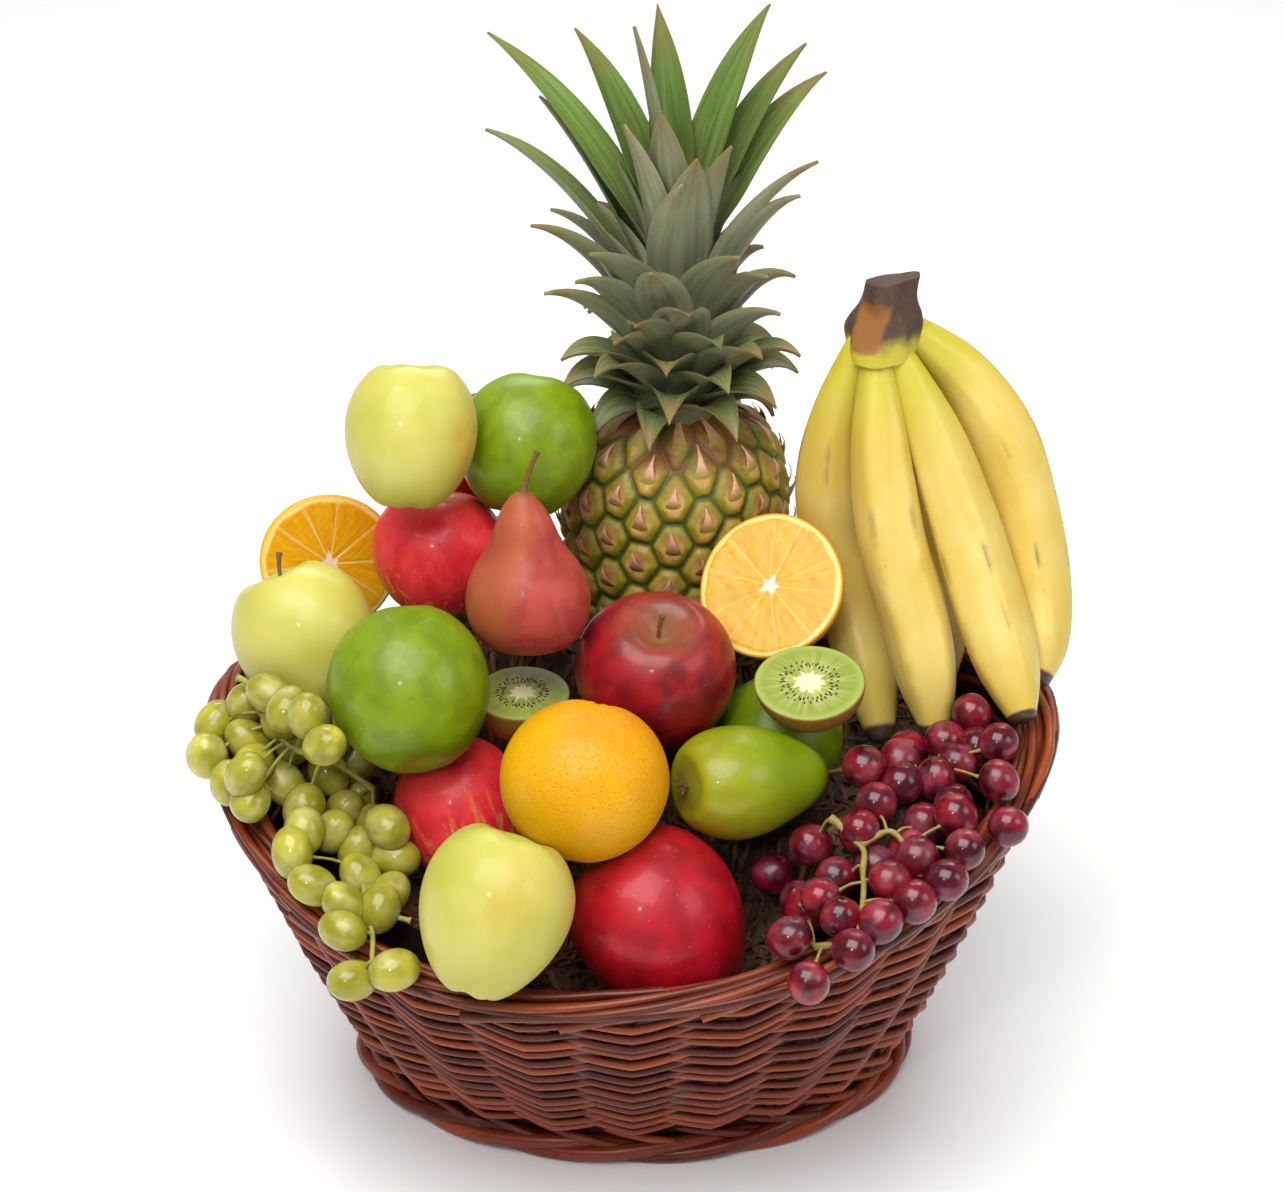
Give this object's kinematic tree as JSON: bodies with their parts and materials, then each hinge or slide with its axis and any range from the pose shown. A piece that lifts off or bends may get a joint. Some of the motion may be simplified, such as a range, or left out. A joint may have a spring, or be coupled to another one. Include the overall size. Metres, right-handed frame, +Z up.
{
  "type": "fruit gift basket",
  "caption": "Oval willow basket heaped with fresh apples, oranges, pears, kiwis, grapes, bananas and a pineapple.",
  "frame": {"origin": "on the surface the basket stands on, under the middle of the whole model's box", "axes": "+Z up; the front, the side with the low rim and the front apples, faces -Y; +X towards the bananas"},
  "size_m": [0.4182, 0.3726, 0.5209],
  "materials": {
    "willow": "stained and varnished reddish brown willow rods, semi gloss",
    "packing": "shredded straw packing in deep shade",
    "skin_green": "waxed bright green apple skin with pale pores",
    "skin_pale": "pale yellow green apple skin, soft sheen, faint blush",
    "skin_red": "waxed red apple skin, streaked and freckled",
    "skin_dark_red": "waxed dark crimson apple skin",
    "orange_peel": "dimpled orange peel, soft gloss",
    "orange_flesh": "cut orange: wet segments, pale pith ring and core",
    "kiwi": "cut kiwi: wet green flesh, dark seeds, pale core, brown fuzzy skin",
    "pear_red": "dull brownish red pear skin",
    "pear_green": "green pear skin with fine dots and a yellowish cheek",
    "pineapple": "hard golden and green eyes with dry spikes; grey green leaves",
    "banana": "ripe yellow banana peel, brown tips and stalk",
    "grape_green": "translucent yellow green grape skin with light bloom",
    "grape_red": "translucent dark red grape skin with light bloom"
  },
  "bodies": {
    "root": {"foot_border": "willow", "basket_wall": "willow", "rim_border": "willow", "packing_bed": "packing", "apple_pale_front": "skin_pale", "apple_red_front": "skin_red", "orange_whole": "orange_peel", "apple_red_low": "skin_red", "apple_green_mid": "skin_green", "apple_red_center": "skin_dark_red", "apple_green_hidden": "skin_green", "apple_pale_left": "skin_pale", "apple_red_upper": "skin_red", "apple_pale_top": "skin_pale", "apple_green_top": "skin_green", "apple_green_back": "skin_green", "apple_red_back": "skin_red", "apple_red_left": "skin_red", "orange_back": "orange_peel", "orange_half_left": "orange_flesh", "orange_half_right": "orange_flesh", "kiwi_half_left": "kiwi", "kiwi_half_right": "kiwi", "pear_red": "pear_red", "pear_green": "pear_green", "pineapple": "pineapple", "banana_hand": "banana", "grapes_green": "grape_green", "grapes_red": "grape_red"}
  },
  "joints": []
}
